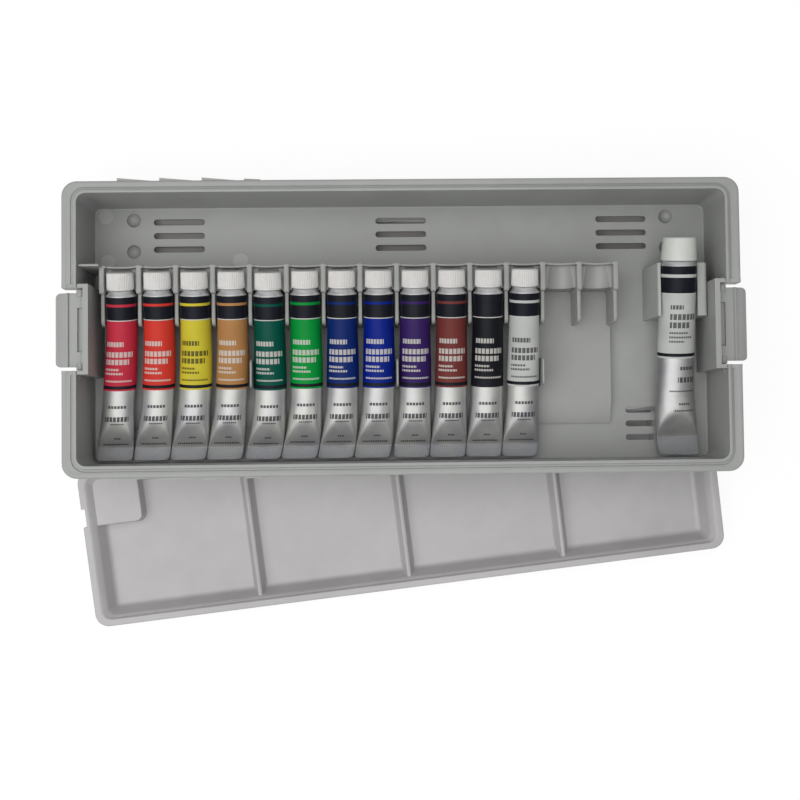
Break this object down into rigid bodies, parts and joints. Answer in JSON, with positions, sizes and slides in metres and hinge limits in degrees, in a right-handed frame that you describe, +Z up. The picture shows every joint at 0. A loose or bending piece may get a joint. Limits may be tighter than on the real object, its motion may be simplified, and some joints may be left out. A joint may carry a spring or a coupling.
{
  "type": "paint box",
  "caption": "Open moulded paint tray with a rack of capped paint tubes and end latches, leaning on its loose mixing palette.",
  "frame": {"origin": "middle of the whole footprint, on the table", "axes": "+X along the tray, +Y from the palette towards the tray's rear, +Z up"},
  "size_m": [0.3484, 0.2306, 0.0529],
  "materials": {
    "palette_plastic": "satin pale grey moulded plastic",
    "tray_plastic": "satin mid-grey moulded plastic",
    "rack_plastic": "satin grey moulded plastic",
    "latch_plastic": "satin grey moulded plastic",
    "cap_plastic": "white, finely ribbed",
    "large_cap_plastic": "white, smooth",
    "tube_white_large": "printed foil, white and black over bare silver",
    "tube_crimson": "printed foil, crimson over bare silver",
    "tube_red_orange": "printed foil, red orange over bare silver",
    "tube_yellow": "printed foil, yellow over bare silver",
    "tube_ochre": "printed foil, ochre over bare silver",
    "tube_deep_green": "printed foil, deep green over bare silver",
    "tube_green": "printed foil, green over bare silver",
    "tube_dark_blue": "printed foil, dark blue over bare silver",
    "tube_ultramarine": "printed foil, ultramarine over bare silver",
    "tube_violet": "printed foil, violet over bare silver",
    "tube_red_brown": "printed foil, red brown over bare silver",
    "tube_black": "printed foil, black over bare silver",
    "tube_white": "printed foil, white over bare silver"
  },
  "bodies": {
    "palette": {"palette": "palette_plastic"},
    "case": {"case_tray": "tray_plastic", "tube_rack": "rack_plastic", "large_tube_cradle": "rack_plastic"},
    "latch_left": {"latch_left": "latch_plastic"},
    "latch_right": {"latch_right": "latch_plastic"},
    "large_tube": {"large_tube": "tube_white_large"},
    "large_tube_cap": {"large_tube_cap": "large_cap_plastic"},
    "tube_01": {"tube_01": "tube_crimson"},
    "cap_01": {"cap_01": "cap_plastic"},
    "tube_02": {"tube_02": "tube_red_orange"},
    "cap_02": {"cap_02": "cap_plastic"},
    "tube_03": {"tube_03": "tube_yellow"},
    "cap_03": {"cap_03": "cap_plastic"},
    "tube_04": {"tube_04": "tube_ochre"},
    "cap_04": {"cap_04": "cap_plastic"},
    "tube_05": {"tube_05": "tube_deep_green"},
    "cap_05": {"cap_05": "cap_plastic"},
    "tube_06": {"tube_06": "tube_green"},
    "cap_06": {"cap_06": "cap_plastic"},
    "tube_07": {"tube_07": "tube_dark_blue"},
    "cap_07": {"cap_07": "cap_plastic"},
    "tube_08": {"tube_08": "tube_ultramarine"},
    "cap_08": {"cap_08": "cap_plastic"},
    "tube_09": {"tube_09": "tube_violet"},
    "cap_09": {"cap_09": "cap_plastic"},
    "tube_10": {"tube_10": "tube_red_brown"},
    "cap_10": {"cap_10": "cap_plastic"},
    "tube_11": {"tube_11": "tube_black"},
    "cap_11": {"cap_11": "cap_plastic"},
    "tube_12": {"tube_12": "tube_white"},
    "cap_12": {"cap_12": "cap_plastic"}
  },
  "joints": [
    {"name": "case_lift", "type": "slide", "parent": "palette", "child": "case", "axis": [0, 0, 1], "range_m": [0, 0.08]},
    {"name": "latch_left_swing", "type": "hinge", "parent": "case", "child": "latch_left", "pos_m": [-0.16082, 0.03997, 0.03878], "axis": [0.0003, 0.997, -0.0772], "range_deg": [0, 90]},
    {"name": "latch_right_swing", "type": "hinge", "parent": "case", "child": "latch_right", "pos_m": [0.16077, 0.04008, 0.04161], "axis": [-0.0003, -0.997, 0.0772], "range_deg": [0, 90]},
    {"name": "large_tube_lift", "type": "slide", "parent": "case", "child": "large_tube", "axis": [-0.0088, 0.0772, 0.997], "range_m": [0, 0.06]},
    {"name": "tube_01_lift", "type": "slide", "parent": "case", "child": "tube_01", "axis": [-0.0088, 0.0772, 0.997], "range_m": [0, 0.06]},
    {"name": "tube_02_lift", "type": "slide", "parent": "case", "child": "tube_02", "axis": [-0.0088, 0.0772, 0.997], "range_m": [0, 0.06]},
    {"name": "tube_03_lift", "type": "slide", "parent": "case", "child": "tube_03", "axis": [-0.0088, 0.0772, 0.997], "range_m": [0, 0.06]},
    {"name": "tube_04_lift", "type": "slide", "parent": "case", "child": "tube_04", "axis": [-0.0088, 0.0772, 0.997], "range_m": [0, 0.06]},
    {"name": "tube_05_lift", "type": "slide", "parent": "case", "child": "tube_05", "axis": [-0.0088, 0.0772, 0.997], "range_m": [0, 0.06]},
    {"name": "tube_06_lift", "type": "slide", "parent": "case", "child": "tube_06", "axis": [-0.0088, 0.0772, 0.997], "range_m": [0, 0.06]},
    {"name": "tube_07_lift", "type": "slide", "parent": "case", "child": "tube_07", "axis": [-0.0088, 0.0772, 0.997], "range_m": [0, 0.06]},
    {"name": "tube_08_lift", "type": "slide", "parent": "case", "child": "tube_08", "axis": [-0.0088, 0.0772, 0.997], "range_m": [0, 0.06]},
    {"name": "tube_09_lift", "type": "slide", "parent": "case", "child": "tube_09", "axis": [-0.0088, 0.0772, 0.997], "range_m": [0, 0.06]},
    {"name": "tube_10_lift", "type": "slide", "parent": "case", "child": "tube_10", "axis": [-0.0088, 0.0772, 0.997], "range_m": [0, 0.06]},
    {"name": "tube_11_lift", "type": "slide", "parent": "case", "child": "tube_11", "axis": [-0.0088, 0.0772, 0.997], "range_m": [0, 0.06]},
    {"name": "tube_12_lift", "type": "slide", "parent": "case", "child": "tube_12", "axis": [-0.0088, 0.0772, 0.997], "range_m": [0, 0.06]},
    {"name": "turn_cap_large", "type": "hinge", "parent": "large_tube", "child": "large_tube_cap", "pos_m": [0.14083, 0.07295, 0.03291], "axis": [-0.0014, 0.9925, 0.1221], "range_deg": [0, 720]},
    {"name": "turn_cap_01", "type": "hinge", "parent": "tube_01", "child": "cap_01", "pos_m": [-0.14172, 0.05962, 0.03268], "axis": [-0.0017, 0.9879, 0.1552], "range_deg": [0, 720]},
    {"name": "turn_cap_02", "type": "hinge", "parent": "tube_02", "child": "cap_02", "pos_m": [-0.12323, 0.05963, 0.03284], "axis": [-0.0017, 0.9879, 0.1552], "range_deg": [0, 720]},
    {"name": "turn_cap_03", "type": "hinge", "parent": "tube_03", "child": "cap_03", "pos_m": [-0.10473, 0.05964, 0.033], "axis": [-0.0017, 0.9879, 0.1552], "range_deg": [0, 720]},
    {"name": "turn_cap_04", "type": "hinge", "parent": "tube_04", "child": "cap_04", "pos_m": [-0.08623, 0.05964, 0.03317], "axis": [-0.0017, 0.9879, 0.1552], "range_deg": [0, 720]},
    {"name": "turn_cap_05", "type": "hinge", "parent": "tube_05", "child": "cap_05", "pos_m": [-0.06773, 0.05965, 0.03333], "axis": [-0.0017, 0.9879, 0.1552], "range_deg": [0, 720]},
    {"name": "turn_cap_06", "type": "hinge", "parent": "tube_06", "child": "cap_06", "pos_m": [-0.04923, 0.05965, 0.03349], "axis": [-0.0017, 0.9879, 0.1552], "range_deg": [0, 720]},
    {"name": "turn_cap_07", "type": "hinge", "parent": "tube_07", "child": "cap_07", "pos_m": [-0.03073, 0.05966, 0.03365], "axis": [-0.0017, 0.9879, 0.1552], "range_deg": [0, 720]},
    {"name": "turn_cap_08", "type": "hinge", "parent": "tube_08", "child": "cap_08", "pos_m": [-0.01223, 0.05967, 0.03382], "axis": [-0.0017, 0.9879, 0.1552], "range_deg": [0, 720]},
    {"name": "turn_cap_09", "type": "hinge", "parent": "tube_09", "child": "cap_09", "pos_m": [0.00627, 0.05967, 0.03398], "axis": [-0.0017, 0.9879, 0.1552], "range_deg": [0, 720]},
    {"name": "turn_cap_10", "type": "hinge", "parent": "tube_10", "child": "cap_10", "pos_m": [0.02477, 0.05968, 0.03414], "axis": [-0.0017, 0.9879, 0.1552], "range_deg": [0, 720]},
    {"name": "turn_cap_11", "type": "hinge", "parent": "tube_11", "child": "cap_11", "pos_m": [0.04327, 0.05969, 0.03431], "axis": [-0.0017, 0.9879, 0.1552], "range_deg": [0, 720]},
    {"name": "turn_cap_12", "type": "hinge", "parent": "tube_12", "child": "cap_12", "pos_m": [0.06177, 0.05969, 0.03447], "axis": [-0.0017, 0.9879, 0.1552], "range_deg": [0, 720]}
  ]
}
